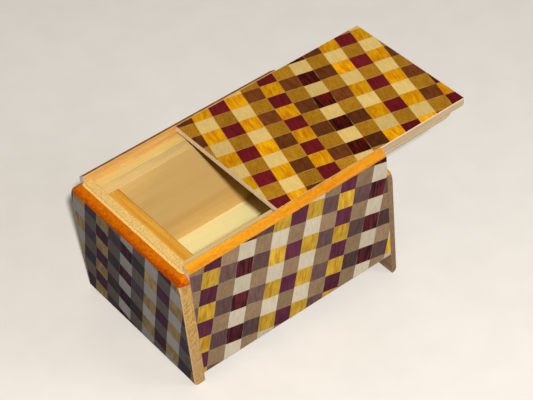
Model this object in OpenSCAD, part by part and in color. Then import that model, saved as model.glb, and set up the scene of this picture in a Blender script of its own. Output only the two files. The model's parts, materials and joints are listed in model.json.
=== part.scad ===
// Japanese puzzle box with a sliding lid and two end panels that drop to free it.
// Shown as in the photograph: both end panels lowered and the lid slid part of the way open.
// Millimetres. Origin at the middle of the box's underside, +X the way the lid opens, +Z up, front at -Y.

/* [Overall size] */
// Length of the front and back panels, between the two end panels
panel_length = 112.6; // [96:0.2:160]
// Depth from the front face to the back face
box_depth = 86.6; // [80:0.2:130]
// Height from the underside to the rim
box_height = 67; // [56:0.2:100]

/* [Outer boards] */
// Thickness of a sheet of patterned veneer
veneer_t = 0.6; // [0.4:0.1:0.7]
// Thickness of the front and back boards under their veneer
side_board_t = 3.6; // [3.5:0.1:6]
// Thickness of the left end board under its veneer
left_board_t = 5.2; // [4:0.1:8]
// Thickness of the right end board under its veneer
right_board_t = 2.2; // [2:0.1:5]
// Width of the planed bevel along the upper edges
edge_bevel = 3.5; // [2:0.1:3.7]
// Width of that bevel on the left end panel
left_edge_bevel = 4.4; // [2:0.1:4.6]
// How far down the outer faces the bevel reaches
edge_drop = 2.8; // [1.6:0.1:3.4]
// Flat left inside the bevel where a board is thinner than the bevel
rim_flat = 0.8; // [0.4:0.1:1.2]
// Width of the small bevel along the lower edges
foot_bevel = 0.9; // [0.8:0.1:1.4]
// Round along the lower outer edge of an end panel
foot_round = 2.4; // [1.2:0.1:2.6]

/* [Inner walls] */
// Thickness of the front and back rails that carry the lid
rail_t = 5.1; // [3:0.1:6]
// Thickness of the end walls that guide the end panels
inner_wall_t = 3.9; // [3.8:0.1:6]
// Thickness of the front and back linings
side_lining_t = 2.6; // [1.6:0.1:5]
// Thickness of the left and right linings
end_lining_t = 8.6; // [2:0.1:12]
// How far the top of the back and end linings lies below the top of the rails
lining_drop = 3.7; // [1:0.1:10]
// How far the top of the front lining lies below the top of the rails
front_lining_drop = 0.3; // [0.1:0.1:3]
// Thickness of the bottom board
bottom_board_t = 2.2; // [1.6:0.1:4]
// Thickness of the floor of the compartment
floor_t = 2.7; // [1.6:0.1:5]

/* [Lid] */
// Thickness of the lid with its veneer
lid_t = 4.4; // [4.3:0.1:6]
// How far the top of the lid lies below the rim
lid_set_down = 0.2; // [0:0.1:0.6]
// Thickness of the lip at the lid's left end
left_lip_t = 3.4; // [2.4:0.1:3.7]
// Length of that lip
left_lip_length = 8.2; // [8.1:0.1:14]
// Round under the tip of the left lip
left_lip_round = 0.6; // [0.2:0.1:1.4]
// Width of the small bevel over the tip of the left lip
left_lip_bevel = 0.8; // [0.7:0.1:1.2]
// Round under the lid's right end
right_end_round = 1.1; // [0.3:0.1:1.1]
// Thickness of the tongue board glued under the lid
tongue_t = 1.2; // [0.8:0.1:2]
// How far the tongue stands out past the lid's front and back edges
tongue_reach = 0.7; // [0.5:0.1:1.4]
// Distance from the tongue to the lid's right end
tongue_end = 9; // [5:0.5:20]
// Length of the sloping end of the tongue, which finds the rebate when the lid goes back
tongue_slope = 3; // [1:0.1:6]

/* [End panel keys] */
// Distance between the two keys of an end panel, as a share of the depth
key_spread = 0.508; // [0.486:0.002:0.6]
// Height of the left panel's keys
left_key_height = 24; // [12:0.5:28]
// Height of the right panel's keys
right_key_height = 20; // [12:0.5:20]
// How far the keys' upper ends lie below the rim when the panel is up
key_depth = 17; // [16.5:0.5:20]
// Width of a key's neck
key_neck_width = 8; // [4:0.1:9]
// Width of a key's head
key_head_width = 12; // [10:0.1:13]
// Thickness of a key's head
key_head_t = 1.5; // [1:0.1:1.7]
// Thickness of wood that a key's head runs behind
key_neck_length = 1.9; // [1.4:0.1:2]

/* [Catch] */
// Length of the cleat on the right end panel, as a share of the depth
cleat_spread = 0.322; // [0.14:0.002:0.322]
// Thickness of the cleat
cleat_t = 1.2; // [0.8:0.1:1.2]
// How far the cleat stands out of the panel
cleat_reach = 2.2; // [1.4:0.1:2.8]
// Wood left between the lid's veneer and the cleat's slot
cleat_cover = 1.1; // [0.8:0.1:1.2]

/* [Fits] */
// Gap between sliding faces
slide_gap = 0.2; // [0.1:0.05:0.25]
// Gap above and below the lid's tongue, and under its lip
lid_gap = 0.3; // [0.2:0.05:0.35]

/* [Pose] */
// How far the lid is slid open
lid_open = 52.2; // [0:0.1:84]
// How far the left end panel is lowered
left_drop = 4.2; // [3.8:0.1:8]
// How far the right end panel is lowered
right_drop = 12; // [9:0.1:12.4]

/* [Hidden] */
half_l = panel_length / 2;
half_d = box_depth / 2;
round_steps = 6;
over_cut = 1;

// Distances from the middle of the box, front to back
board_out = half_d - veneer_t;
board_in = board_out - side_board_t;
rail_in = board_in - rail_t;
lining_in = rail_in - side_lining_t;

// Distances from the middle of the box, end to end
wall_in = half_l - inner_wall_t;
end_lining_in = wall_in - end_lining_t;
panel_in = half_l + slide_gap;

// Heights
bevel_z = box_height - edge_drop;
bottom_top = veneer_t + bottom_board_t;
floor_top = bottom_top + floor_t;
lid_top = box_height - lid_set_down;
lid_core_top = lid_top - veneer_t;
lid_base = lid_top - lid_t;
tongue_base = lid_base - tongue_t;
rail_top = tongue_base - lid_gap;
rebate_top = lid_base + lid_gap;
lining_top = rail_top - lining_drop;
left_wall_top = lid_top - left_lip_t - lid_gap;
key_top = box_height - key_depth;
cleat_slot_top = lid_core_top - cleat_cover;
cleat_top = cleat_slot_top - slide_gap;
cleat_base = cleat_top - cleat_t;

// Angle at which the round of an end panel's foot crosses from the veneer to the board
foot_angle = acos(1 - veneer_t / foot_round);

// Sizes that follow from the fits
left_bevel = min(left_edge_bevel, left_board_t + veneer_t - rim_flat);
right_bevel = min(edge_bevel, right_board_t + veneer_t - rim_flat);
lid_length = panel_length - slide_gap;
lid_width = 2 * (board_in - slide_gap);
lid_start = -lid_length / 2;
lid_finish = lid_length / 2;
tongue_half = lid_width / 2 + tongue_reach;
rebate_depth = tongue_reach - slide_gap + lid_gap;
key_spacing = key_spread * box_depth;
cleat_length = cleat_spread * box_depth;
key_neck_run = key_neck_length + 2 * slide_gap;
notch_depth = cleat_reach - slide_gap + lid_gap;
cleat_slot_depth = cleat_reach - slide_gap + lid_gap;

pale_wood = [0.87, 0.77, 0.6];
golden_wood = [0.85, 0.66, 0.36];
end_grain_wood = [0.9, 0.78, 0.52];
stained_wood = [0.8, 0.5, 0.2];
key_wood = [0.55, 0.36, 0.2];
patterned_wood = [0.52, 0.34, 0.2];

// Helpers

// Pushes an outline drawn in (y, z) along X
module along_x(start, length) {
    translate([start, 0, 0]) rotate([90, 0, 90]) linear_extrude(length) children();
}

// Pushes an outline drawn in (x, z) along Y
module along_y(start, length) {
    translate([0, start + length, 0]) rotate([90, 0, 0]) linear_extrude(length) children();
}

// A box given by its lowest and highest corners
module block(low, high) {
    translate(low) cube(high - low);
}

// Puts a piece drawn at the back to the front
module at_front() {
    mirror([0, 1, 0]) children();
}

// Puts a piece drawn at the right end to the left end
module at_left() {
    mirror([1, 0, 0]) children();
}

// Points of a quarter round about a centre, from one angle to another
function arc(centre, r, from, to) = [
    for (i = [0 : round_steps])
        let (a = from + (to - from) * i / round_steps)
        [centre[0] + r * cos(a), centre[1] + r * sin(a)]
];

// Height at which a bevel of the given width crosses from the veneer to the board
function joint_height(bevel) = bevel_z + veneer_t * edge_drop / bevel;

// Front and back of the carcass, drawn at the back

// The outer board holds the lid down: the tongue slides in a rebate under its rim
module side_board() {
    along_x(-half_l, panel_length)
        polygon([
            [board_in, 0],
            [half_d - foot_bevel, 0],
            [board_out, foot_bevel - veneer_t],
            [board_out, joint_height(edge_bevel)],
            [half_d - edge_bevel, box_height],
            [board_in, box_height],
            [board_in, rebate_top],
            [board_in + rebate_depth, rebate_top],
            [board_in + rebate_depth, rail_top],
            [board_in, rail_top]
        ]);
}

module side_veneer() {
    along_x(-half_l, panel_length)
        polygon([
            [board_out, foot_bevel - veneer_t],
            [half_d, foot_bevel],
            [half_d, bevel_z],
            [board_out, joint_height(edge_bevel)]
        ]);
}

module side_rail() {
    block([-half_l, rail_in, bottom_top], [half_l, board_in, rail_top]);
}

module side_lining(drop) {
    block([-wall_in, lining_in, floor_top], [wall_in, rail_in, rail_top - drop]);
}

// Ends of the carcass, drawn at the right end

// A stepped slot: the key's neck shows outside and its head runs behind the wood
module key_slot(y, low, high) {
    neck = key_neck_width / 2 + slide_gap;
    head = key_head_width / 2 + slide_gap;
    head_plane = half_l - key_neck_length;
    block([head_plane - over_cut, y - neck, low], [half_l + over_cut, y + neck, high]);
    block([wall_in - over_cut, y - head, low], [head_plane, y + head, high]);
}

module inner_wall(top, key_height, travel) {
    slot_low = key_top - key_height - travel - slide_gap;
    slot_high = key_top + slide_gap;
    difference() {
        block([wall_in, -rail_in, bottom_top], [half_l, rail_in, top]);
        key_slot(-key_spacing / 2, slot_low, slot_high);
        key_slot(key_spacing / 2, slot_low, slot_high);
    }
}

// The left wall stands higher, and its top laps over the ends of both rails
module lapped_inner_wall() {
    union() {
        inner_wall(left_wall_top, left_key_height, left_drop);
        block([wall_in, -board_in, rail_top], [half_l, board_in, left_wall_top]);
    }
}

// The right wall is cut back where the cleat goes down with its panel
module notched_inner_wall() {
    notch_half = cleat_length / 2 + slide_gap;
    difference() {
        inner_wall(rail_top, right_key_height, right_drop);
        block([half_l - notch_depth, -notch_half, cleat_base - right_drop - slide_gap],
              [half_l + over_cut, notch_half, rail_top + over_cut]);
    }
}

module end_lining() {
    block([end_lining_in, -lining_in, floor_top], [wall_in, lining_in, lining_top]);
}

// End panels, drawn raised at the right end

// Front and back edges of an end panel: bevelled at the top to meet the side boards
module panel_sides() {
    along_x(panel_in - over_cut, left_board_t + right_board_t + 2 * over_cut)
        polygon([
            [-half_d + foot_bevel, 0],
            [half_d - foot_bevel, 0],
            [half_d, foot_bevel],
            [half_d, bevel_z],
            [half_d - edge_bevel, box_height],
            [-half_d + edge_bevel, box_height],
            [-half_d, bevel_z],
            [-half_d, foot_bevel]
        ]);
}

module panel_board(board_t, bevel) {
    board_face = panel_in + board_t;
    outer = board_face + veneer_t;
    intersection() {
        along_y(-half_d, box_depth)
            polygon(concat(
                [[panel_in, 0]],
                arc([outer - foot_round, foot_round], foot_round, 270, 360 - foot_angle),
                [[board_face, joint_height(bevel)], [outer - bevel, box_height], [panel_in, box_height]]
            ));
        panel_sides();
    }
}

module panel_veneer(board_t, bevel) {
    board_face = panel_in + board_t;
    outer = board_face + veneer_t;
    intersection() {
        along_y(-half_d, box_depth)
            polygon(concat(
                arc([outer - foot_round, foot_round], foot_round, 360 - foot_angle, 360),
                [[outer, bevel_z], [board_face, joint_height(bevel)]]
            ));
        panel_sides();
    }
}

// A key goes through the wall's slot from the inside and is glued to the panel
module panel_key(y, key_height) {
    neck = key_neck_width / 2;
    head = key_head_width / 2;
    shoulder = panel_in - key_neck_run;
    translate([0, y, key_top - key_height])
        linear_extrude(key_height)
            polygon([
                [panel_in, -neck],
                [panel_in, neck],
                [shoulder, neck],
                [shoulder, head],
                [shoulder - key_head_t, head],
                [shoulder - key_head_t, -head],
                [shoulder, -head],
                [shoulder, -neck]
            ]);
}

module panel_cleat() {
    block([panel_in - cleat_reach, -cleat_length / 2, cleat_base], [panel_in, cleat_length / 2, cleat_top]);
}

// Lid, drawn closed

// The board has a thin lip at the left and a slot for the cleat in its right end
module closed_lid_board() {
    lip_base = lid_top - left_lip_t;
    slot_half = cleat_length / 2 + slide_gap;
    difference() {
        along_y(-lid_width / 2, lid_width)
            polygon(concat(
                [[lid_start + left_lip_bevel - veneer_t, lid_core_top], [lid_start, lid_top - left_lip_bevel]],
                arc([lid_start + left_lip_round, lip_base + left_lip_round], left_lip_round, 180, 270),
                [[lid_start + left_lip_length, lip_base], [lid_start + left_lip_length, lid_base]],
                arc([lid_finish - right_end_round, lid_base + right_end_round], right_end_round, 270, 360),
                [[lid_finish, lid_core_top]]
            ));
        block([lid_finish - cleat_slot_depth, -slot_half, cleat_base - slide_gap],
              [lid_finish + over_cut, slot_half, cleat_slot_top]);
    }
}

module closed_lid_veneer() {
    along_y(-lid_width / 2, lid_width)
        polygon([
            [lid_start + left_lip_bevel - veneer_t, lid_core_top],
            [lid_finish, lid_core_top],
            [lid_finish, lid_top],
            [lid_start + left_lip_bevel, lid_top]
        ]);
}

module closed_lid_tongue() {
    along_y(-tongue_half, 2 * tongue_half)
        polygon([
            [lid_start + left_lip_length, tongue_base],
            [lid_finish - tongue_end - tongue_slope, tongue_base],
            [lid_finish - tongue_end, lid_base],
            [lid_start + left_lip_length, lid_base]
        ]);
}

// Poses of the moving groups

module lid_pose() {
    translate([lid_open, 0, 0]) children();
}

module left_pose() {
    translate([0, 0, -left_drop]) at_left() children();
}

module right_pose() {
    translate([0, 0, -right_drop]) children();
}

// Carcass

module front_board() { color(pale_wood) at_front() side_board(); }
module back_board() { color(pale_wood) side_board(); }
module front_veneer() { color(patterned_wood) at_front() side_veneer(); }
module back_veneer() { color(patterned_wood) side_veneer(); }
module front_rail() { color(golden_wood) at_front() side_rail(); }
module back_rail() { color(golden_wood) side_rail(); }
module left_inner_wall() { color(end_grain_wood) at_left() lapped_inner_wall(); }
module right_inner_wall() { color(end_grain_wood) notched_inner_wall(); }
module front_lining() { color(pale_wood) at_front() side_lining(front_lining_drop); }
module back_lining() { color(pale_wood) side_lining(lining_drop); }
module left_lining() { color(stained_wood) at_left() end_lining(); }
module right_lining() { color(stained_wood) end_lining(); }

module floor_board() {
    color(pale_wood) block([-wall_in, -rail_in, bottom_top], [wall_in, rail_in, floor_top]);
}

module bottom_board() {
    color(golden_wood) block([-half_l, -board_in, veneer_t], [half_l, board_in, bottom_top]);
}

module bottom_veneer() {
    color(patterned_wood) block([-half_l, -board_in, 0], [half_l, board_in, veneer_t]);
}

// Left end panel

module left_end_board() { color(pale_wood) left_pose() panel_board(left_board_t, left_bevel); }
module left_end_veneer() { color(patterned_wood) left_pose() panel_veneer(left_board_t, left_bevel); }
module left_key_front() { color(key_wood) left_pose() panel_key(-key_spacing / 2, left_key_height); }
module left_key_back() { color(key_wood) left_pose() panel_key(key_spacing / 2, left_key_height); }

// Right end panel

module right_end_board() { color(pale_wood) right_pose() panel_board(right_board_t, right_bevel); }
module right_end_veneer() { color(patterned_wood) right_pose() panel_veneer(right_board_t, right_bevel); }
module right_key_front() { color(key_wood) right_pose() panel_key(-key_spacing / 2, right_key_height); }
module right_key_back() { color(key_wood) right_pose() panel_key(key_spacing / 2, right_key_height); }
module right_end_cleat() { color(key_wood) right_pose() panel_cleat(); }

// Lid

module lid_board() { color(pale_wood) lid_pose() closed_lid_board(); }
module lid_veneer() { color(patterned_wood) lid_pose() closed_lid_veneer(); }
module lid_tongue() { color(golden_wood) lid_pose() closed_lid_tongue(); }

front_board();
back_board();
front_veneer();
back_veneer();
front_rail();
back_rail();
left_inner_wall();
right_inner_wall();
front_lining();
back_lining();
left_lining();
right_lining();
floor_board();
bottom_board();
bottom_veneer();
left_end_board();
left_end_veneer();
left_key_front();
left_key_back();
right_end_board();
right_end_veneer();
right_key_front();
right_key_back();
right_end_cleat();
lid_board();
lid_veneer();
lid_tongue();
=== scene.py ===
import json
import math
import bmesh
import bpy
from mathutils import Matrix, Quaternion, Vector


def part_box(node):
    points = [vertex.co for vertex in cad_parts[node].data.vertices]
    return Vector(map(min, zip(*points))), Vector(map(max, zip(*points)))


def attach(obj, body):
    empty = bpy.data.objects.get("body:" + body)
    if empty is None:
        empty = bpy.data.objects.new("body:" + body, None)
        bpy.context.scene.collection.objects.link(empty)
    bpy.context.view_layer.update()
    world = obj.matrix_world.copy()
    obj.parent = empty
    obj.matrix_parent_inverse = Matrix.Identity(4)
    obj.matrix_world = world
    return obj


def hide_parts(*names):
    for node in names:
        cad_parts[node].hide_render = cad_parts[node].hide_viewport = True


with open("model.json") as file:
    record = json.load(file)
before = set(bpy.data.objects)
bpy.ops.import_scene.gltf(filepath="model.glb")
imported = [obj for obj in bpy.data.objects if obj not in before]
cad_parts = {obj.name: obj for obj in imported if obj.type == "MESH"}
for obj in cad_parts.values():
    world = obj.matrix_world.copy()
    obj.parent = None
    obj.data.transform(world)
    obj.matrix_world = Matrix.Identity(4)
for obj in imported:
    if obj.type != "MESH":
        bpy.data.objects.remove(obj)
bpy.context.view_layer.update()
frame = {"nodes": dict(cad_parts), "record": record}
mm = 0.001

# colours are written as they look on screen, 0 to 255, and turned into the linear values nodes want
screen = {"white": 255, "knee": 0.04045, "slope": 12.92, "lift": 0.055, "power": 2.4}


def tone(red, green, blue):
    def linear(level):
        level = level / screen["white"]
        if level <= screen["knee"]:
            return level / screen["slope"]
        return ((level + screen["lift"]) / (1 + screen["lift"])) ** screen["power"]
    return (linear(red), linear(green), linear(blue), 1.0)


# small helpers for node trees: a value may be a plain number or another node's output
def addNode(tree, kind, **settings):
    made = tree.nodes.new(kind)
    for name, value in settings.items():
        setattr(made, name, value)
    return made


def feed(tree, socket, value):
    if isinstance(value, bpy.types.NodeSocket):
        tree.links.new(value, socket)
    else:
        socket.default_value = value


def mathOf(tree, operation, *values):
    made = addNode(tree, "ShaderNodeMath", operation=operation)
    for socket, value in zip(made.inputs, values):
        feed(tree, socket, value)
    return made.outputs[0]


def vectorOf(tree, operation, *values):
    made = addNode(tree, "ShaderNodeVectorMath", operation=operation)
    sockets = [made.inputs[0], made.inputs["Scale"]] if operation == "SCALE" else made.inputs
    for socket, value in zip(sockets, values):
        feed(tree, socket, value)
    return made.outputs["Value" if operation == "DOT_PRODUCT" else "Vector"]


def mixOf(tree, amount, first, second, blend="MIX"):
    made = addNode(tree, "ShaderNodeMix", data_type="RGBA", blend_type=blend)
    for index, value in ((0, amount), (6, first), (7, second)):   # 6 and 7 are the colour sockets
        feed(tree, made.inputs[index], value)
    return made.outputs[2]


def noiseOf(tree, vector, scale=1.0, detail=2.0, roughness=0.5):
    made = addNode(tree, "ShaderNodeTexNoise", noise_dimensions="3D")
    feed(tree, made.inputs["Vector"], vector)
    made.inputs["Scale"].default_value = scale
    made.inputs["Detail"].default_value = detail
    made.inputs["Roughness"].default_value = roughness
    return made.outputs[0]


def spread(tree, value, low, high, toLow=0.0, toHigh=1.0):
    made = addNode(tree, "ShaderNodeMapRange", interpolation_type="SMOOTHSTEP")
    for socket, given in zip(made.inputs, (value, low, high, toLow, toHigh)):
        feed(tree, socket, given)
    return made.outputs[0]


def steps(tree, place, colours):
    made = addNode(tree, "ShaderNodeValToRGB")
    ramp = made.color_ramp
    ramp.interpolation = "CONSTANT"
    while len(ramp.elements) < len(colours):
        ramp.elements.new(1.0)
    for index, colour in enumerate(colours):
        ramp.elements[index].position = index / len(colours)
        ramp.elements[index].color = colour
    feed(tree, made.inputs[0], place)
    return made.outputs[0]


def pointOf(tree, x, y, z):
    made = addNode(tree, "ShaderNodeCombineXYZ")
    for socket, value in zip(made.inputs, (x, y, z)):
        feed(tree, socket, value)
    return made.outputs[0]


def axesOf(tree, vector):
    made = addNode(tree, "ShaderNodeSeparateXYZ")
    feed(tree, made.inputs[0], vector)
    return made.outputs


def shadedBy(tree, colour, shade):   # a colour times a plain grey value
    return mixOf(tree, 1.0, colour, pointOf(tree, shade, shade, shade), "MULTIPLY")


def maskOf(tree, name):   # a face mark that the piece's own mesh carries
    made = addNode(tree, "ShaderNodeAttribute", attribute_type="GEOMETRY", attribute_name=name)
    return made.outputs["Fac"]


def newGroup(name, inputs, outputs):
    tree = bpy.data.node_groups.new(name, "ShaderNodeTree")
    for label, kind, value in inputs:
        socket = tree.interface.new_socket(name=label, in_out="INPUT", socket_type="NodeSocket" + kind)
        socket.default_value = value
    for label, kind in outputs:
        tree.interface.new_socket(name=label, in_out="OUTPUT", socket_type="NodeSocket" + kind)
    return tree, tree.nodes.new("NodeGroupInput").outputs, tree.nodes.new("NodeGroupOutput").inputs


def useGroup(tree, group, **values):
    made = addNode(tree, "ShaderNodeGroup", node_tree=group)
    for name, value in values.items():
        feed(tree, made.inputs[name], value)
    return made.outputs


# planed board seen along the grain: slow figure, fine fibres, short dark pores and small specks
# each is noise drawn out along the grain; the rates are waves per metre across and along it
boardLook = {
    "figureRates": (260, 14), "fibreRates": (2200, 60), "poreRates": (2600, 240), "speckRates": (1100, 420),
    "fineRoughness": 0.6, "poreRange": (0.62, 0.72), "speckRange": (0.36, 0.66), "speckSwing": 0.5,
    "seedStep": (0.31, 0.17, 0.23),
}


def makeBoardGrain():
    tree, given, result = newGroup(
        "boardGrain",
        [("Vector", "Vector", (0, 0, 0)), ("Along", "Vector", (1, 0, 0)), ("Seed", "Float", 0.0),
         ("Breadth", "Float", 1.0)],
        [("Figure", "Float"), ("Fibre", "Float"), ("Pore", "Float"), ("Speck", "Float")])
    shift = vectorOf(tree, "SCALE", boardLook["seedStep"], given["Seed"])
    place = vectorOf(tree, "ADD", given["Vector"], shift)
    run = vectorOf(tree, "SCALE", given["Along"], vectorOf(tree, "DOT_PRODUCT", place, given["Along"]))

    def drawnOut(kind):
        across, along = boardLook[kind + "Rates"]
        wide = vectorOf(tree, "SCALE", place, across)
        return vectorOf(tree, "ADD", wide, vectorOf(tree, "SCALE", run, along - across))

    broad = vectorOf(tree, "SCALE", drawnOut("figure"), mathOf(tree, "DIVIDE", 1.0, given["Breadth"]))
    feed(tree, result["Figure"], noiseOf(tree, broad))
    fibre = noiseOf(tree, drawnOut("fibre"), detail=3.0, roughness=boardLook["fineRoughness"])
    feed(tree, result["Fibre"], fibre)
    pore = noiseOf(tree, drawnOut("pore"), detail=1.0)
    feed(tree, result["Pore"], spread(tree, pore, *boardLook["poreRange"]))
    speck = noiseOf(tree, drawnOut("speck"), detail=3.0, roughness=boardLook["fineRoughness"])
    swing = boardLook["speckSwing"]
    feed(tree, result["Speck"], spread(tree, speck, *boardLook["speckRange"], -swing, swing))
    return tree


# the same board seen on its end: faint rings drawn out aslant, and open pores in patches
endLook = {"ringLean": (0.6, 0.5, 0.62), "ringDraw": 0.78, "ringRate": 0.5, "ringRoughness": 0.6,
           "poreRim": 0.5, "poreHeart": 0.22, "patchRate": 0.9, "patchRange": (0.38, 0.56)}


def makeEndGrain():
    tree, given, result = newGroup(
        "endGrain",
        [("Vector", "Vector", (0, 0, 0)), ("Size", "Float", 1.0)],   # size of a pore in millimetres
        [("Ring", "Float"), ("Pore", "Float")])
    place = vectorOf(tree, "SCALE", given["Vector"], mathOf(tree, "DIVIDE", 1.0 / mm, given["Size"]))
    lean = Vector(endLook["ringLean"]).normalized()
    run = vectorOf(tree, "SCALE", lean, vectorOf(tree, "DOT_PRODUCT", place, lean))
    drawn = vectorOf(tree, "SUBTRACT", place, vectorOf(tree, "SCALE", run, endLook["ringDraw"]))
    ring = noiseOf(tree, drawn, endLook["ringRate"], detail=3.0, roughness=endLook["ringRoughness"])
    feed(tree, result["Ring"], ring)
    cells = addNode(tree, "ShaderNodeTexVoronoi", feature="F1")
    feed(tree, cells.inputs["Vector"], place)
    cells.inputs["Scale"].default_value = 1.0
    dots = spread(tree, cells.outputs["Distance"], endLook["poreRim"], endLook["poreHeart"])
    kept = spread(tree, noiseOf(tree, place, endLook["patchRate"]), *endLook["patchRange"])
    feed(tree, result["Pore"], mathOf(tree, "MULTIPLY", dots, kept))
    return tree


# borders of a sheet, rubbed down to bare wood here and there
wearLook = {"raggedRate": 380.0, "raggedRange": (0.35, 0.65), "raggedReach": (0.3, 1.7), "softShare": 0.5}


def makeBorderWear():
    tree, given, result = newGroup(
        "borderWear",
        [("Vector", "Vector", (0, 0, 0)), ("Middle", "Vector", (0, 0, 0)), ("Right", "Vector", (1, 0, 0)),
         ("Up", "Vector", (0, 0, 1)), ("HalfWidth", "Float", 0.05), ("HalfHeight", "Float", 0.05),
         ("Reach", "Float", 0.0005)],
        [("Wear", "Float")])
    place = vectorOf(tree, "SUBTRACT", given["Vector"], given["Middle"])

    def inset(way, half):
        off = mathOf(tree, "ABSOLUTE", vectorOf(tree, "DOT_PRODUCT", place, given[way]))
        return mathOf(tree, "SUBTRACT", given[half], off)

    nearest = mathOf(tree, "MINIMUM", inset("Right", "HalfWidth"), inset("Up", "HalfHeight"))
    patches = noiseOf(tree, place, wearLook["raggedRate"], detail=3.0)
    ragged = spread(tree, patches, *wearLook["raggedRange"], *wearLook["raggedReach"])
    reach = mathOf(tree, "MULTIPLY", given["Reach"], ragged)
    soft = mathOf(tree, "MULTIPLY", reach, wearLook["softShare"])
    feed(tree, result["Wear"], spread(tree, nearest, reach, soft))
    return tree


boardGrain = makeBoardGrain()
endGrain = makeEndGrain()
borderWear = makeBorderWear()

check = {
    "tile": 9.4 * mm,
    "turn": 15.0,
    "rowWithRosewood": ["rosewood", "brown", "yellow", "maroon", "yellow", "brown", "yellow", "brown"],
    "rowWithCream": ["cream", "olive", "cream", "olive", "cream", "olive", "maroon", "olive"],
    "traits": {
        "cream": (0.0, 0.35, 0.3), "yellow": (0.4, 0.65, 0.1), "olive": (0.1, 0.3, 0.8),
        "brown": (0.2, 0.5, 0.35), "maroon": (0.45, 0.3, 0.2), "rosewood": (1.0, 0.1, 0.05)},
    "shadeSpread": {
        "cream": 0.26, "yellow": 0.42, "olive": 0.42, "brown": 0.8, "maroon": 0.5, "rosewood": 0.4},
}

# grain inside a tile: waves per tile across and along the strip, and where the pattern starts and is full
tileGrain = {
    "bars": {"rates": (9.5, 0.8), "roughness": 0.55, "range": (0.38, 0.62)},
    "flames": {"rates": (6.5, 1.7), "roughness": 0.55, "range": (0.34, 0.68)},
    "specks": {"rates": (24.0, 18.0), "roughness": 0.6, "range": (0.42, 0.66)},
    "fibre": {"rates": (34.0, 2.5), "roughness": 0.6, "range": (0.3, 0.75)},
}
fibreShade = {"light": 1.1, "dark": 0.88}

# laid by hand, in tiles: strips wander, each has slipped against the next, and grain leans from tile to tile
handLaid = {"wanderRate": 0.35, "wander": 0.14, "slip": 0.08, "lean": 0.3, "ownGrain": 40.0}

# glue between tiles, open and closed in patches: weakest and strongest line between strips and between rows
glue = {"patchRate": 140.0, "patchRange": (0.4, 0.62), "edge": 0.03, "core": 0.01, "maroonShare": 0.2,
        "strips": (0.05, 0.4), "lidRows": (0.25, 0.7), "sideRows": (0.05, 0.4), "endRows": (0.05, 0.35)}

# roughness rises from a base with the fibres; they, the glue lines and the open pores give the small relief
sheen = {"swing": 0.2, "sheet": 0.4, "board": 0.45}
relief = {
    "sheet": {"fibre": 0.4, "strength": 0.25, "depth": 0.05 * mm},
    "board": {"fibre": 0.5, "strength": 0.3, "depth": 0.06 * mm},
}

# each sheet's woods: the plain colour and the colour of its figure; the palettes are lit copies of the same
# woods, the lid's with painted warm overhead light and the long sides' with the cooler light that falls on
# the front
warmLitLidWoods = {
    "cream": (tone(203, 176, 109), tone(190, 157, 86)), "yellow": (tone(213, 157, 3), tone(188, 114, 1)),
    "olive": (tone(166, 119, 26), tone(134, 88, 12)), "brown": (tone(100, 53, 21), tone(75, 35, 11)),
    "maroon": (tone(103, 22, 27), tone(77, 10, 16)), "rosewood": (tone(90, 11, 4), tone(22, 6, 2))}
coolLitSideWoods = {
    "cream": (tone(190, 179, 157), tone(176, 164, 138)), "yellow": (tone(201, 163, 58), tone(168, 124, 32)),
    "olive": (tone(145, 120, 92), tone(122, 98, 73)), "brown": (tone(96, 73, 68), tone(76, 55, 54)),
    "maroon": (tone(89, 43, 57), tone(66, 28, 44)), "rosewood": (tone(95, 33, 38), tone(38, 22, 27))}
# the ends' palette is darker and greyer than the long sides': painted shade
shadedEndWoods = {
    "cream": (tone(155, 151, 148), tone(140, 135, 131)), "yellow": (tone(161, 141, 98), tone(134, 108, 70)),
    "olive": (tone(102, 93, 87), tone(85, 76, 72)), "brown": (tone(65, 56, 63), tone(51, 43, 51)),
    "maroon": (tone(68, 41, 59), tone(53, 30, 46)), "rosewood": (tone(77, 40, 52), tone(31, 22, 32))}
# the right end's palette lies between the ends' shaded palette and the long sides' one, so it carries lighter
# painted shade than the left end
rightShadeLift = 0.6


def between(first, second, share):
    return tuple(one + (other - one) * share for one, other in zip(first, second))


halfShadedRightWoods = {wood: tuple(between(shadedTone, sideTone, rightShadeLift)
                          for shadedTone, sideTone in zip(shadedEndWoods[wood], coolLitSideWoods[wood]))
              for wood in shadedEndWoods}


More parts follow.
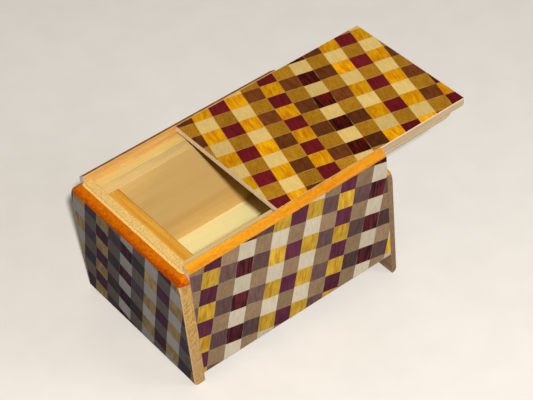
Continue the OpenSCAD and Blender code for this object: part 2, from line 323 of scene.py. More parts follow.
def makeMosaic(name, palette, rowGlue):
    tree, given, result = newGroup(
        name,
        [("Vector", "Vector", (0, 0, 0)), ("Anchor", "Vector", (0, 0, 0)),
         ("Right", "Vector", (1, 0, 0)), ("Up", "Vector", (0, 0, 1))],
        [("Colour", "Color"), ("Gloss", "Float"), ("Height", "Float")])
    place = vectorOf(tree, "SUBTRACT", given["Vector"], given["Anchor"])
    right = vectorOf(tree, "DOT_PRODUCT", place, given["Right"])
    up = vectorOf(tree, "DOT_PRODUCT", place, given["Up"])
    cosine = math.cos(math.radians(check["turn"])) / check["tile"]
    sine = math.sin(math.radians(check["turn"])) / check["tile"]

    def turned(first, firstShare, second, secondShare):
        return mathOf(tree, "ADD", mathOf(tree, "MULTIPLY", first, firstShare),
                      mathOf(tree, "MULTIPLY", second, secondShare))

    def shaken(value, chance, amount):   # moved by up to half the amount either way
        return mathOf(tree, "ADD", value, mathOf(tree, "MULTIPLY_ADD", chance, amount, -amount / 2))

    def tileNumber(value):
        return mathOf(tree, "FLOOR", mathOf(tree, "ADD", value, 0.5))

    across = turned(right, cosine, up, -sine)
    rising = turned(right, sine, up, cosine)
    wander = noiseOf(tree, pointOf(tree, across, rising, 0.0), handLaid["wanderRate"], detail=1.0)
    across = shaken(across, wander, handLaid["wander"])
    column = tileNumber(across)
    slip = addNode(tree, "ShaderNodeTexWhiteNoise", noise_dimensions="1D")
    feed(tree, slip.inputs["W"], column)
    rising = shaken(rising, slip.outputs["Value"], handLaid["slip"])
    row = tileNumber(rising)
    inAcross = mathOf(tree, "SUBTRACT", across, column)
    inRising = mathOf(tree, "SUBTRACT", rising, row)

    # which wood this tile is cut from
    tiles = len(check["rowWithRosewood"])
    step = mathOf(tree, "FLOORED_MODULO", column, float(tiles))
    step = mathOf(tree, "MULTIPLY_ADD", step, 1 / tiles, 0.5 / tiles)
    oddRow = mathOf(tree, "FLOORED_MODULO", row, 2.0)

    def byTile(table):
        inEven = steps(tree, step, [table[wood] for wood in check["rowWithRosewood"]])
        inOdd = steps(tree, step, [table[wood] for wood in check["rowWithCream"]])
        return mixOf(tree, oddRow, inEven, inOdd)

    plain = byTile({wood: pair[0] for wood, pair in palette.items()})
    figured = byTile({wood: pair[1] for wood, pair in palette.items()})
    trait = addNode(tree, "ShaderNodeSeparateColor")
    feed(tree, trait.inputs[0], byTile({wood: (*shares, 1.0) for wood, shares in check["traits"].items()}))
    swing = addNode(tree, "ShaderNodeSeparateColor")
    feed(tree, swing.inputs[0], byTile({wood: (amount,) * 3 + (1.0,)
                                        for wood, amount in check["shadeSpread"].items()}))

    # grain runs up the strips, and every tile has its own piece of it
    chance = addNode(tree, "ShaderNodeTexWhiteNoise", noise_dimensions="2D")
    feed(tree, chance.inputs["Vector"], pointOf(tree, column, row, 0.0))
    luck = chance.outputs["Value"]
    own = mathOf(tree, "MULTIPLY", luck, handLaid["ownGrain"])
    tilt = mathOf(tree, "MULTIPLY_ADD", luck, handLaid["lean"], -handLaid["lean"] / 2)
    leaning = mathOf(tree, "MULTIPLY_ADD", inRising, tilt, inAcross)

    def grainOf(kind):
        acrossRate, risingRate = tileGrain[kind]["rates"]
        spot = pointOf(tree, mathOf(tree, "MULTIPLY", leaning, acrossRate),
                       mathOf(tree, "MULTIPLY", inRising, risingRate), own)
        return noiseOf(tree, spot, roughness=tileGrain[kind]["roughness"])

    share = 0.0
    for kind, weight in zip(("bars", "flames", "specks"), trait.outputs):
        pattern = spread(tree, grainOf(kind), *tileGrain[kind]["range"])
        share = mathOf(tree, "MULTIPLY_ADD", pattern, weight, share)
    colour = mixOf(tree, mathOf(tree, "MINIMUM", share, 1.0), plain, figured)
    fibre = grainOf("fibre")
    fine = spread(tree, fibre, *tileGrain["fibre"]["range"], fibreShade["light"], fibreShade["dark"])
    shade = mathOf(tree, "MULTIPLY_ADD", mathOf(tree, "SUBTRACT", luck, 0.5), swing.outputs[0], 1.0)
    colour = shadedBy(tree, colour, mathOf(tree, "MULTIPLY", shade, fine))

    # thin glue lines, plainer on the lid where a tile meets the next in its strip
    patchy = noiseOf(tree, place, glue["patchRate"], detail=1.0)

    def glueLine(offset, weakest, strongest):
        inset = mathOf(tree, "SUBTRACT", 0.5, mathOf(tree, "ABSOLUTE", offset))
        strength = spread(tree, patchy, *glue["patchRange"], weakest, strongest)
        return mathOf(tree, "MULTIPLY", spread(tree, inset, glue["edge"], glue["core"]), strength)

    line = mathOf(tree, "MAXIMUM", glueLine(inAcross, *glue["strips"]), glueLine(inRising, *rowGlue))
    glueColour = mixOf(tree, glue["maroonShare"], palette["cream"][1], palette["maroon"][0])
    raised = mathOf(tree, "MULTIPLY", fibre, relief["sheet"]["fibre"])
    feed(tree, result["Colour"], mixOf(tree, line, colour, glueColour))
    feed(tree, result["Gloss"], mathOf(tree, "MULTIPLY_ADD", fibre, sheen["swing"], sheen["sheet"]))
    feed(tree, result["Height"], mathOf(tree, "SUBTRACT", raised, line))
    return tree


warmLitLidMosaic = makeMosaic("warmLitLidMosaic", warmLitLidWoods, glue["lidRows"])
coolLitSideMosaic = makeMosaic("coolLitSideMosaic", coolLitSideWoods, glue["sideRows"])
shadedEndMosaic = makeMosaic("shadedEndMosaic", shadedEndWoods, glue["endRows"])
halfShadedRightMosaic = makeMosaic("halfShadedRightMosaic", halfShadedRightWoods, glue["endRows"])
print("grain and mosaic groups ready")

# where a rosewood tile sits on each sheet in mm, which way is right and up for someone facing it,
# and the two colours of its cut edge
sideCut = (tone(196, 176, 158), tone(166, 142, 122))
sheets = {
    "lid_veneer": {
        "group": warmLitLidMosaic, "anchor": (59.5, 5.2, 66.8), "right": (1, 0, 0), "up": (0, 1, 0),
        # the lid's cut edge is very pale: partly the wood's own tone, partly a painted highlight on the tip,
        # which faces away from the main lamp
        "cut": (tone(238, 219, 186), tone(214, 190, 152))},
    "front_veneer": {
        "group": coolLitSideMosaic, "anchor": (-32.5, -43.3, 31.5), "right": (1, 0, 0), "up": (0, 0, 1),
        "cut": sideCut},
    "left_end_veneer": {
        "group": shadedEndMosaic, "anchor": (-62.3, 4.3, 32.5), "right": (0, -1, 0), "up": (0, 0, 1),
        "cut": (tone(202, 170, 130), tone(178, 144, 106))},
    "back_veneer": {
        "group": coolLitSideMosaic, "anchor": (18.0, 43.3, 33.0), "right": (-1, 0, 0), "up": (0, 0, 1),
        "cut": sideCut},
    "right_end_veneer": {
        # the right panel's front edge is darker: partly its own tone, partly painted shade from the front
        # sheet beside it
        "group": halfShadedRightMosaic, "anchor": (59.3, 6.0, 22.0), "right": (0, 1, 0), "up": (0, 0, 1),
        "cut": (tone(146, 118, 94), tone(120, 94, 74))},
    "bottom_veneer": {
        "group": coolLitSideMosaic, "anchor": (4.0, 3.0, 0.0), "right": (1, 0, 0), "up": (0, -1, 0),
        "cut": sideCut},
}
longSheets = ("front_veneer", "back_veneer")
sheetSeeds = {"cut": 5.0, "stain": 3.0}
wax = {"weight": 0.08, "roughness": 0.35}
wear = {"reach": 0.55 * mm, "lidReach": 0.15 * mm, "share": 0.75, "bare": tone(186, 142, 92)}

# orange stain on the planed bevels and in their pores; darkest on the left end and darker on the back, which
# is painted shade, and darker low on each bevel, a painted shade of a rounded profile
bevelDrop = 2.8 * mm
stains = {
    "front": {"pale": tone(203, 139, 28), "deep": tone(182, 108, 10), "low": 0.5, "specks": 0.45,
              "board": "front_board"},
    "back": {"pale": tone(150, 92, 30), "deep": tone(128, 72, 22), "low": 0.0, "specks": 0.4,
             "board": "back_board"},
    "left_end": {"pale": tone(200, 105, 4), "deep": tone(150, 58, 0), "low": 0.75, "specks": 0.6,
                 "board": "left_end_board"},
    "right_end": {"pale": tone(206, 148, 52), "deep": tone(186, 122, 34), "low": 0.3, "specks": 0.45,
                  "board": "right_end_board"},
}
stainLook = {"poreSize": 1.1, "poreShare": 0.25, "figureRange": (0.4, 0.75), "figureShare": 0.6,
             "lowShadeEnds": 0.25}


def newMaterial(name):
    made = bpy.data.materials.new(name)
    made.use_nodes = True
    tree = made.node_tree
    shader = tree.nodes["Principled BSDF"]
    shader.inputs["Specular IOR Level"].default_value = 0.0   # bare wood; a thin wax coat gives the sheen
    shader.inputs["Coat Weight"].default_value = wax["weight"]
    shader.inputs["Coat Roughness"].default_value = wax["roughness"]
    place = tree.nodes.new("ShaderNodeTexCoord").outputs["Object"]
    return made, tree, shader, place


def bump(tree, shader, height, look):
    made = addNode(tree, "ShaderNodeBump")
    made.inputs["Strength"].default_value = look["strength"]
    made.inputs["Distance"].default_value = look["depth"]
    feed(tree, made.inputs["Height"], height)
    feed(tree, shader.inputs["Normal"], made.outputs[0])


def stainFor(node):
    for side in ("back", "left_end", "right_end"):
        if node.startswith(side):
            return stains[side]
    return stains["front"]


def stainedColour(tree, place, along, seed, stain):
    grain = useGroup(tree, boardGrain, Vector=place, Along=along, Seed=seed)
    ends = useGroup(tree, endGrain, Vector=place, Size=stainLook["poreSize"])
    figure = spread(tree, grain["Figure"], *stainLook["figureRange"], 0.0, stainLook["figureShare"])
    deep = mathOf(tree, "MULTIPLY_ADD", ends["Pore"], stainLook["poreShare"], figure)
    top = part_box(stain["board"])[1].z
    # painted shade: the bevel darker towards its foot
    low = spread(tree, axesOf(tree, place)["Z"], top - bevelDrop, top - stainLook["lowShadeEnds"] * bevelDrop,
                 stain["low"], 0.0)
    deep = mathOf(tree, "ADD", mathOf(tree, "MULTIPLY_ADD", grain["Speck"], stain["specks"], deep), low)
    return mixOf(tree, mathOf(tree, "MINIMUM", deep, 1.0), stain["pale"], stain["deep"])


def sheetMaterial(node, sheet):
    made, tree, shader, place = newMaterial(node.replace("veneer", "mosaic"))
    right, up = sheet["right"], sheet["up"]
    anchor = [value * mm for value in sheet["anchor"]]
    mosaic = useGroup(tree, sheet["group"], Vector=place, Anchor=anchor, Right=right, Up=up)
    grain = useGroup(tree, boardGrain, Vector=place, Along=right, Seed=sheetSeeds["cut"])
    cut = mixOf(tree, grain["Fibre"], *sheet["cut"])
    low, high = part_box(node)
    reach = wear["lidReach"] if node == "lid_veneer" else wear["reach"]
    halves = [abs((high - low).dot(Vector(way))) / 2 for way in (right, up)]
    if node in longSheets:   # their ends are covered by the end panels
        halves[0] += 2 * reach
    rubbed = useGroup(tree, borderWear, Vector=place, Middle=(low + high) / 2, Right=right, Up=up,
                      HalfWidth=halves[0], HalfHeight=halves[1], Reach=reach)["Wear"]
    colour = mixOf(tree, mathOf(tree, "MULTIPLY", rubbed, wear["share"]), mosaic["Colour"], wear["bare"])
    colour = mixOf(tree, maskOf(tree, "sheetEdge"), colour, cut)
    stained = stainedColour(tree, place, right, sheetSeeds["stain"], stainFor(node))
    colour = mixOf(tree, maskOf(tree, "stained"), colour, stained)
    feed(tree, shader.inputs["Base Color"], colour)
    feed(tree, shader.inputs["Roughness"], mosaic["Gloss"])
    bump(tree, shader, mosaic["Height"], relief["sheet"])
    return made


# plain woods: the board's colour, its darker figure, its end grain with pores, and which way it runs; some
# have a rim or a top of their own, stronger rings, painted shade towards the foot, drawn-in stain, a dark
# arris or calmer grain
woods = {
    "outer_board": {
        "main": tone(204, 162, 93), "figure": tone(190, 140, 72), "end": tone(226, 220, 210),
        "pore": tone(180, 164, 148), "along": (1, 0, 0), "poreSize": 0.6},
    # the back board's top is painted dark brown: painted shade of its bevel, which lies in shadow
    "back_board": {
        "main": tone(204, 162, 93), "figure": tone(190, 140, 72), "end": tone(226, 220, 210),
        "pore": tone(180, 164, 148), "along": (1, 0, 0), "poreSize": 0.6, "top": tone(132, 82, 46)},
    "left_end_board": {
        "main": tone(206, 168, 104), "figure": tone(184, 142, 80), "end": tone(188, 149, 86),
        "pore": tone(140, 102, 54), "along": (0, 1, 0), "poreSize": 0.5, "rim": tone(230, 192, 114),
        "ring": 4.0, "footShade": tone(168, 136, 102), "bleed": 1.5 * mm},
    # the right panel's front edge is darker: partly its own tone, partly painted shade from the front sheet
    # beside it
    "right_end_board": {
        "main": tone(176, 142, 104), "figure": tone(152, 118, 84), "end": tone(138, 110, 84),
        "pore": tone(98, 74, 56), "along": (0, 1, 0), "poreSize": 0.6, "rim": tone(206, 164, 92),
        "ring": 2.6, "footShade": tone(122, 100, 82)},
    "rail": {
        "main": tone(198, 172, 116), "figure": tone(190, 156, 94), "end": tone(206, 166, 98),
        "pore": tone(170, 128, 72), "along": (1, 0, 0), "poreSize": 0.6, "top": tone(211, 182, 108)},
    "inner_wall": {
        "main": tone(226, 190, 118), "figure": tone(208, 168, 96), "end": tone(218, 182, 110),
        "pore": tone(142, 100, 46), "along": (0, 0, 1), "poreSize": 0.55},
    "side_lining": {
        "main": tone(210, 175, 109), "figure": tone(197, 156, 88), "end": tone(206, 166, 100),
        "pore": tone(180, 140, 84), "along": (1, 0, 0), "poreSize": 0.6, "top": tone(201, 173, 118),
        "fibre": 0.15, "breadth": 2.4},
    "end_lining": {
        "main": tone(213, 166, 72), "figure": tone(198, 134, 36), "end": tone(200, 148, 76),
        "pore": tone(146, 96, 46), "along": (0, 1, 0), "poreSize": 0.6, "arris": tone(120, 78, 30)},
    "floor": {
        "main": tone(230, 220, 160), "figure": tone(222, 206, 143), "end": tone(226, 196, 130),
        "pore": tone(214, 184, 124), "along": (1, 0, 0), "poreSize": 0.6, "fibre": 0.2, "breadth": 2.4},
    "key": {
        "main": tone(150, 104, 62), "figure": tone(122, 80, 46), "end": tone(120, 80, 48),
        "pore": tone(76, 48, 28), "along": (0, 0, 1), "poreSize": 0.5},
    "cleat": {
        "main": tone(206, 176, 112), "figure": tone(184, 150, 88), "end": tone(190, 160, 100),
        "pore": tone(130, 96, 50), "along": (0, 1, 0), "poreSize": 0.4},
    # the lid's end grain is very pale: partly the wood's own tone, partly a painted highlight on the tip,
    # which faces away from the main lamp
    "lid_wood": {
        "main": tone(191, 171, 139), "figure": tone(176, 154, 121), "end": tone(246, 222, 184),
        "pore": tone(160, 130, 96), "along": (1, 0, 0), "poreSize": 0.5},
}
woodLook = {
    "figureRange": (0.35, 0.68), "fibreRange": (0.35, 0.7), "fibreLight": 0.06, "fibreDark": 0.1,
    "poreShare": 0.3, "endPoreShare": 0.75, "ringRange": (0.34, 0.68), "ringLight": 0.05, "ringDark": 0.08,
    "seedGap": 1.7,
}
# painted shade near the foot of the end panels: how high it reaches, how strong it is, and its patches
footShade = {"reach": 45.0 * mm, "share": 0.7, "patchRate": 150.0, "patchRange": (0.35, 0.65), "leastPatch": 0.2}
bleed = {"soft": 0.35 * mm, "share": 0.9, "tint": 0.3, "tintReach": 2.2 * mm}
arris = {"darkShare": 0.8, "patchRate": 220.0, "patchRange": (0.42, 0.65), "paleShare": 0.3, "paleness": 0.5,
         "pale": tone(244, 226, 190)}


def boardMaterial(name, wood, seed):
    made, tree, shader, place = newMaterial(name)
    grain = useGroup(tree, boardGrain, Vector=place, Along=wood["along"], Seed=seed,
                     Breadth=wood.get("breadth", 1.0))
    figure = spread(tree, grain["Figure"], *woodLook["figureRange"])
    colour = mixOf(tree, figure, wood["main"], wood["figure"])
    fibre = wood.get("fibre", 1.0)
    fine = spread(tree, grain["Fibre"], *woodLook["fibreRange"],
                  1.0 + woodLook["fibreLight"] * fibre, 1.0 - woodLook["fibreDark"] * fibre)
    colour = shadedBy(tree, colour, fine)
    pores = mathOf(tree, "MULTIPLY", grain["Pore"], woodLook["poreShare"] * fibre)
    colour = mixOf(tree, pores, colour, wood["pore"])

    ends = useGroup(tree, endGrain, Vector=place, Size=wood["poreSize"])
    openPore = mathOf(tree, "MULTIPLY", ends["Pore"], woodLook["endPoreShare"])

    def porous(base, contrast):
        ring = spread(tree, ends["Ring"], *woodLook["ringRange"],
                      1.0 + woodLook["ringLight"] * contrast, 1.0 - woodLook["ringDark"] * contrast)
        return mixOf(tree, openPore, shadedBy(tree, base, ring), wood["pore"])

    endFace = maskOf(tree, "endFace")
    colour = mixOf(tree, endFace, colour, porous(wood["end"], wood.get("ring", 1.0)))
    # painted shade: greyer towards the foot, in patches, where the floor shades the panel
    if "footShade" in wood:   # greyer towards the foot, in patches
        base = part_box(name)[0].z
        towardsFoot = spread(tree, axesOf(tree, place)["Z"], base + footShade["reach"], base, 0.0, footShade["share"])
        patches = noiseOf(tree, place, footShade["patchRate"], detail=3.0)
        patches = spread(tree, patches, *footShade["patchRange"], footShade["leastPatch"], 1.0)
        colour = mixOf(tree, mathOf(tree, "MULTIPLY", towardsFoot, patches), colour, wood["footShade"])
    stained = stainedColour(tree, place, wood["along"], seed, stainFor(name))
    if "bleed" in wood:   # stain drawn down into the end grain, further on the inner side
        axes = axesOf(tree, place)
        low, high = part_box(name)
        inward = mathOf(tree, "MULTIPLY", mathOf(tree, "SUBTRACT", axes["X"], low.x),
                        wood["bleed"] / (high.x - low.x))
        depth = mathOf(tree, "SUBTRACT", high.z - bevelDrop, axes["Z"])
        below = mathOf(tree, "SUBTRACT", depth, inward)
        soaked = spread(tree, below, bleed["soft"], -bleed["soft"], 0.0, bleed["share"])
        tinted = spread(tree, below, bleed["tintReach"], 0.0, 0.0, bleed["tint"])
        drawn = mathOf(tree, "MULTIPLY", mathOf(tree, "MAXIMUM", soaked, tinted), endFace)
        colour = mixOf(tree, drawn, colour, stained)
    if "rim" in wood:
        colour = mixOf(tree, maskOf(tree, "rim"), colour, porous(wood["rim"], 1.0))
    if "top" in wood:
        colour = mixOf(tree, maskOf(tree, "rim"), colour, shadedBy(tree, wood["top"], fine))
    colour = mixOf(tree, maskOf(tree, "stained"), colour, stained)
    onArris = maskOf(tree, "arris")
    if "arris" in wood:   # arris drawn dark
        colour = mixOf(tree, mathOf(tree, "MULTIPLY", onArris, arris["darkShare"]), colour, wood["arris"])
    else:   # edge rubbed pale in patches
        patches = noiseOf(tree, place, arris["patchRate"])
        rubbed = spread(tree, patches, *arris["patchRange"], 0.0, arris["paleShare"])
        pale = mixOf(tree, arris["paleness"], colour, arris["pale"])
        colour = mixOf(tree, mathOf(tree, "MULTIPLY", onArris, rubbed), colour, pale)
    gloss = mathOf(tree, "MULTIPLY_ADD", grain["Fibre"], sheen["swing"], sheen["board"])
    pits = mathOf(tree, "MULTIPLY", mathOf(tree, "MULTIPLY", ends["Pore"], endFace), -1.0)
    height = mathOf(tree, "MULTIPLY_ADD", grain["Fibre"], relief["board"]["fibre"], pits)
    feed(tree, shader.inputs["Base Color"], colour)
    feed(tree, shader.inputs["Roughness"], gloss)
    bump(tree, shader, height, relief["board"])
    return made


finishes = {name: boardMaterial(name, wood, woodLook["seedGap"] * order)
            for order, (name, wood) in enumerate(woods.items())}
for node, sheet in sheets.items():
    finishes[node] = sheetMaterial(node, sheet)
print("finishes ready:", len(finishes))

# every visible piece is a copy of its CAD solid with eased arrises; its faces are marked for the finishes
merge = {"join": 0.001 * mm, "flat": 0.5}   # points closer than this are one; faces closer in angle are one
ease = {"board": 0.16 * mm, "sheet": 0.06 * mm, "key": 0.3 * mm, "end_lining": 0.4 * mm, "leastAngle": 25.0,
        "tightGap": ("left_end_board", "left_inner_wall"), "gapReach": 0.4 * mm, "segments": 2}
panelOf = {"left_end_board": "left_end_board", "left_end_veneer": "left_end_board",
           "right_end_board": "right_end_board", "right_end_veneer": "right_end_board"}
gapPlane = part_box("left_inner_wall")[0].x


def isEased(node, edge):   # the arrises along the left panel's running gap stay sharp
    if len(edge.link_faces) != 2 or edge.calc_face_angle() < math.radians(ease["leastAngle"]):
        return False
    middle = (edge.verts[0].co + edge.verts[1].co) / 2
    return node not in ease["tightGap"] or abs(middle.x - gapPlane) > ease["gapReach"]


def rounded(shape, edges, width, segments):
    return bmesh.ops.bevel(shape, geom=edges, offset=width, offset_type="OFFSET", segments=segments,
                           profile=0.5, affect="EDGES", clamp_overlap=True)["faces"]


# the feet of the end panels run square to front and back, so that the round under them shows, and are
# rubbed round inside too; the lower edge of the long sheets is worn to bare wood
foot = {"bevel": 0.9 * mm, "near": 0.02 * mm, "inside": 1.0 * mm, "worn": 0.3 * mm, "segments": 4}


def squareFoot(shape, board):
    low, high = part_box(board)
    for vert in shape.verts:
        rise = vert.co.z - low.z
        for side in (low.y, high.y):
            if abs(abs(vert.co.y - side) + rise - foot["bevel"]) < foot["near"]:
                vert.co.y = side


def insideFootEdges(shape, board):
    low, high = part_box(board)
    inside = high.x if abs(high.x) < abs(low.x) else low.x

    def isAtFoot(vert):
        return abs(vert.co.x - inside) + abs(vert.co.z - low.z) < foot["near"]

    return [edge for edge in shape.edges if all(isAtFoot(vert) for vert in edge.verts)]


# the upper corners of the end panels are rubbed round where the bevels meet, board and sheet alike:
# planes that touch a ball inside the corner trim it
corner = {"round": 1.7 * mm, "drop": 0.52, "turns": (15.0, 45.0, 75.0), "tilts": (12.0, 30.0, 48.0),
          "mitreShares": (0.2, 0.5, 0.8), "endBevel": 3.5 * mm, "topFlat": 0.8 * mm, "near": 0.002 * mm}


def cornerWays(side, end, topBevel):   # from the outer face round to the end, then along the mitre
    ways = []
    for turn in corner["turns"]:
        for tilt in corner["tilts"]:
            flat = math.cos(math.radians(tilt))
            ways.append(Vector((side * math.cos(math.radians(turn)) * flat,
                                end * math.sin(math.radians(turn)) * flat, math.sin(math.radians(tilt)))))
    onOuter = Vector((side * bevelDrop, 0, topBevel)).normalized()
    onEnd = Vector((0, end * bevelDrop, corner["endBevel"])).normalized()
    return ways + [onOuter.slerp(onEnd, share) for share in corner["mitreShares"]]


def trim(shape, point, way):
    everything = shape.verts[:] + shape.edges[:] + shape.faces[:]
    cut = bmesh.ops.bisect_plane(shape, geom=everything, dist=corner["near"], plane_co=point, plane_no=way,
                                 clear_outer=True)["geom_cut"]
    loop = [part for part in cut if isinstance(part, bmesh.types.BMEdge) and part.is_boundary]
    if loop:
        for face in bmesh.ops.edgeloop_fill(shape, edges=loop)["faces"]:
            face.smooth = True


def rubCorners(shape, board):
    low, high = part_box(board)
    sheetLow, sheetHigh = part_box(board.replace("board", "veneer"))
    side = -1 if low.x < 0 else 1
    outer = sheetLow.x if side < 0 else sheetHigh.x
    inner = high.x if side < 0 else low.x
    radius = corner["round"]
    topBevel = abs(outer - inner) - corner["topFlat"]
    for end, endFace in ((-1, low.y), (1, high.y)):
        middle = Vector((outer - side * radius, endFace - end * radius,
                         high.z - bevelDrop - corner["drop"] * radius))
        for way in cornerWays(side, end, topBevel):
            trim(shape, middle + way * radius, way)
    bmesh.ops.remove_doubles(shape, verts=shape.verts, dist=corner["near"])
    bmesh.ops.recalc_face_normals(shape, faces=shape.faces)


# the rim of the left panel stands a little closer to the wall than the rest of its inner face
rim = {"lean": 0.15 * mm, "near": 0.02 * mm}


def leanRim(shape):
    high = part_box("left_end_board")[1]
    for vert in shape.verts:
        if high.x - vert.co.x < rim["near"] and high.z - vert.co.z < rim["near"]:
            vert.co.x += rim["lean"]


# the lid's tip is square on top, its sheet reaching to the very end
tip = {"bevel": 0.8 * mm, "near": 0.02 * mm}


def squareTip(shape):
    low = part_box("lid_board")[0]
    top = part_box("lid_veneer")[1].z
    for vert in shape.verts:
        isNear = vert.co.x - low.x < tip["bevel"] + tip["near"]
        if isNear and vert.co.z > top - tip["bevel"] + tip["near"]:
            vert.co.x = low.x


def formedCopy(node):
    shape = bmesh.new()
    shape.from_mesh(frame["nodes"][node].data)
    bmesh.ops.remove_doubles(shape, verts=shape.verts, dist=merge["join"])
    panel = panelOf.get(node)
    if panel:
        squareFoot(shape, panel)
    if node in ("lid_board", "lid_veneer"):
        squareTip(shape)
    if node == "left_end_board":
        leanRim(shape)
    bmesh.ops.dissolve_limit(shape, angle_limit=math.radians(merge["flat"]), verts=shape.verts,
                             edges=shape.edges)
    if node == panel:
        rounded(shape, insideFootEdges(shape, panel), foot["inside"], foot["segments"])
    if panel:
        rubCorners(shape, panel)
    return shape


# limits for the marks: how far a face looks up, along the grain or out of its sheet, how near the top a rim
# lies, and which share of a face's longest edge counts as running along it
faceRules = {"bevelFrom": 0.3, "levelFrom": 0.95, "endFrom": 0.6, "sheetFrom": 0.75, "rimReach": 0.2 * mm,
             "underFrom": -0.3, "outwardFrom": 0.9, "arrisFrom": 0.2, "longEdge": 0.6}
stainedWoods = ("outer_board", "back_board", "left_end_board", "right_end_board")


def markFaces(shape, node, finish, along, facing):
    marks = {mark: shape.faces.layers.float.new(mark)
             for mark in ("stained", "endFace", "sheetEdge", "rim", "arris")}
    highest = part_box(node)[1].z
    canStain = node != "lid_veneer" and (facing is not None or finish in stainedWoods)
    for face in shape.faces:
        rise = face.normal.z
        isTop = face.calc_center_median().z > highest - faceRules["rimReach"]
        isBevel = faceRules["bevelFrom"] < rise < faceRules["levelFrom"]
        face[marks["stained"]] = float(canStain and isBevel)
        face[marks["rim"]] = float(rise > faceRules["levelFrom"] and isTop)
        face[marks["endFace"]] = float(abs(face.normal.dot(along)) > faceRules["endFrom"])
        if facing is not None:
            face[marks["sheetEdge"]] = float(face.normal.dot(facing) < faceRules["sheetFrom"])
    return marks


def wearLowerEdge(shape, facing, marks):
    worn = [edge for edge in shape.edges if len(edge.link_faces) == 2
            and min(face.normal.z for face in edge.link_faces) < faceRules["underFrom"]
            and max(face.normal.dot(facing) for face in edge.link_faces) > faceRules["outwardFrom"]]
    for face in rounded(shape, worn, foot["worn"], foot["segments"]):
        face[marks["sheetEdge"]] = 1.0


def easeArrises(shape, node, width, marks):
    sharp = [edge for edge in shape.edges if isEased(node, edge)]
    # an eased arris takes the stain of a bevel it runs along
    for face in rounded(shape, sharp, width, ease["segments"]):
        longest = max(edge.calc_length() for edge in face.edges)
        beside = [other for edge in face.edges for other in edge.link_faces
                  if edge.calc_length() > faceRules["longEdge"] * longest and other is not face]
        touches = max([other[marks["stained"]] for other in beside], default=0.0)
        face[marks["stained"]] = touches if face.normal.z > faceRules["arrisFrom"] else 0.0
        face[marks["arris"]] = 1.0
        face.smooth = True
    bmesh.ops.dissolve_degenerate(shape, dist=merge["join"], edges=shape.edges)


def easedPiece(node, finish):
    shape = formedCopy(node)
    facing = None
    if node in sheets:
        along = Vector(sheets[node]["right"])
        facing = along.cross(Vector(sheets[node]["up"]))
        width = ease["sheet"]
    else:
        along = Vector(woods[finish]["along"])
        width = ease.get(finish, ease["board"])
    marks = markFaces(shape, node, finish, along, facing)
    if node in longSheets:
        wearLowerEdge(shape, facing, marks)
    easeArrises(shape, node, width, marks)
    mesh = bpy.data.meshes.new(node + "_eased")
    shape.to_mesh(mesh)
    shape.free()
    mesh.materials.append(finishes[node if node in sheets else finish])
    piece = bpy.data.objects.new(node + "_eased", mesh)
    bpy.context.scene.collection.objects.link(piece)
    return piece


slots = {part["node"]: part["material_slot"] for part in frame["record"]["subparts"]}
for body, nodes in frame["record"]["behaviour"]["bodies"].items():
    for node in nodes:
        piece = easedPiece(node, node if node in woods else slots[node])
        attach(piece, body)
        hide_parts(node)
    print("body", body, "dressed:", len(nodes), "pieces")

# floor: it touches the lowered feet of both end panels, so it slopes against the box
# it is dim where light bounces off it, so that little of its colour lands on the box
floor = {"reach": 4.0, "seen": tone(226, 223, 218), "lit": tone(96, 98, 104), "mottleRate": 60.0,
         "mottleRange": (0.3, 0.7), "mottleShade": 0.97, "roughness": 0.9}


def isSeen(tree):   # 1 for rays from the camera, also by way of gloss or glass
    path = addNode(tree, "ShaderNodeLightPath").outputs
    seen = mathOf(tree, "MAXIMUM", path["Is Camera Ray"], path["Is Glossy Ray"])
    return mathOf(tree, "MAXIMUM", seen, path["Is Transmission Ray"])


def makeFloor():
    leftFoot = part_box("left_end_board")[0]
    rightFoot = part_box("right_end_board")[0]
    start = Vector((leftFoot.x, 0, leftFoot.z))
    finish = Vector((rightFoot.x, 0, rightFoot.z))
    slope = (finish - start).normalized() * floor["reach"]
    centre = (start + finish) / 2
    corners = [centre + slope * i + Vector((0, floor["reach"] * j, 0))
               for i, j in ((-1, -1), (1, -1), (1, 1), (-1, 1))]
    mesh = bpy.data.meshes.new("floor")
    mesh.from_pydata(corners, [], [(0, 1, 2, 3)])
    made = bpy.data.objects.new("floor", mesh)
    bpy.context.scene.collection.objects.link(made)
    material, tree, shader, place = newMaterial("floorPaint")
    mottle = noiseOf(tree, place, floor["mottleRate"], detail=4.0)
    mottle = spread(tree, mottle, *floor["mottleRange"])
    darker = [value * floor["mottleShade"] for value in floor["seen"][:3]] + [1.0]
    seen = mixOf(tree, mottle, floor["seen"], darker)
    feed(tree, shader.inputs["Base Color"], mixOf(tree, isSeen(tree), floor["lit"], seen))
    shader.inputs["Roughness"].default_value = floor["roughness"]
    mesh.materials.append(material)


makeFloor()

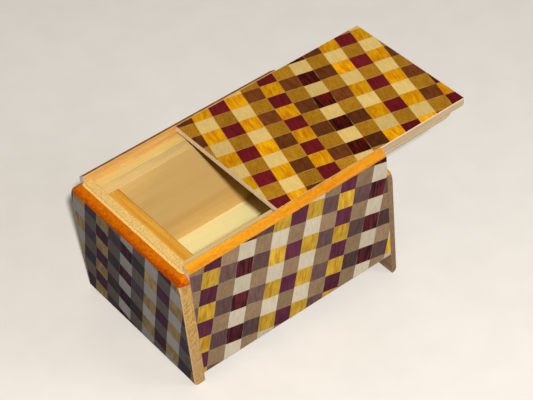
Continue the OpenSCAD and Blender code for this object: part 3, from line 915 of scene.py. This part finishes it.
# studio light: the main lamp stands by the camera, with weak broad ones far to the right and behind
lamps = {
    "main": {"towards": (-0.3435, -0.624, 0.702), "away": 1.25, "size": 0.048, "power": 19.0,
             "colour": (1.0, 0.97, 0.93)},
    "right": {"towards": (0.6, -0.72, 0.35), "away": 1.3, "size": 0.7, "power": 5.0,
              "colour": (0.97, 0.98, 1.0)},
    "back": {"towards": (0.45, 0.87, 0.2), "away": 1.3, "size": 0.8, "power": 3.5,
             "colour": (1.0, 0.98, 0.96)},
}
room = {"colour": (1.0, 0.88, 0.72, 1.0), "strength": 0.16, "background": tone(226, 224, 220)}
target = Vector((0.02, 0.0, 0.03))

for name, lamp in lamps.items():
    light = bpy.data.lights.new(name, "AREA")
    light.shape = "DISK"
    light.size = lamp["size"]
    light.energy = lamp["power"]
    light.color = lamp["colour"]
    holder = bpy.data.objects.new(name, light)
    holder.location = target + Vector(lamp["towards"]).normalized() * lamp["away"]
    holder.rotation_euler = (target - holder.location).to_track_quat("-Z", "Y").to_euler()
    bpy.context.scene.collection.objects.link(holder)

world = bpy.data.worlds.new("room")
bpy.context.scene.world = world
world.use_nodes = True
sky = world.node_tree
background = sky.nodes["Background"]
background.inputs["Color"].default_value = room["colour"]
background.inputs["Strength"].default_value = room["strength"]
plain = addNode(sky, "ShaderNodeBackground")
plain.inputs["Color"].default_value = room["background"]
chooser = addNode(sky, "ShaderNodeMixShader")
feed(sky, chooser.inputs[0], isSeen(sky))
feed(sky, chooser.inputs[1], background.outputs[0])
feed(sky, chooser.inputs[2], plain.outputs[0])
feed(sky, sky.nodes["World Output"].inputs["Surface"], chooser.outputs[0])
print("floor, lamps and room ready")

# camera worked out from the corners of the box; the picture is 533 by 400
view = {"place": (-0.31767, -0.49997, 0.58713), "aim": (0.01833, 0.00225, 0.03), "lean": 6.26,
        "focal": 1716.1, "pictureWidth": 533.0, "sensor": 36.0, "nearest": 0.01}
camera = bpy.data.cameras.new("photoView")
camera.sensor_fit = "HORIZONTAL"
camera.sensor_width = view["sensor"]
camera.lens = view["focal"] / view["pictureWidth"] * view["sensor"]
camera.clip_start = view["nearest"]
stand = bpy.data.objects.new("photoView", camera)
stand.location = view["place"]
aim = (Vector(view["aim"]) - stand.location).to_track_quat("-Z", "Y")
stand.rotation_mode = "QUATERNION"
stand.rotation_quaternion = aim @ Quaternion((0, 0, 1), math.radians(-view["lean"]))
bpy.context.scene.collection.objects.link(stand)
bpy.context.scene.camera = stand
bpy.context.scene.view_settings.view_transform = "Standard"
print("camera ready")
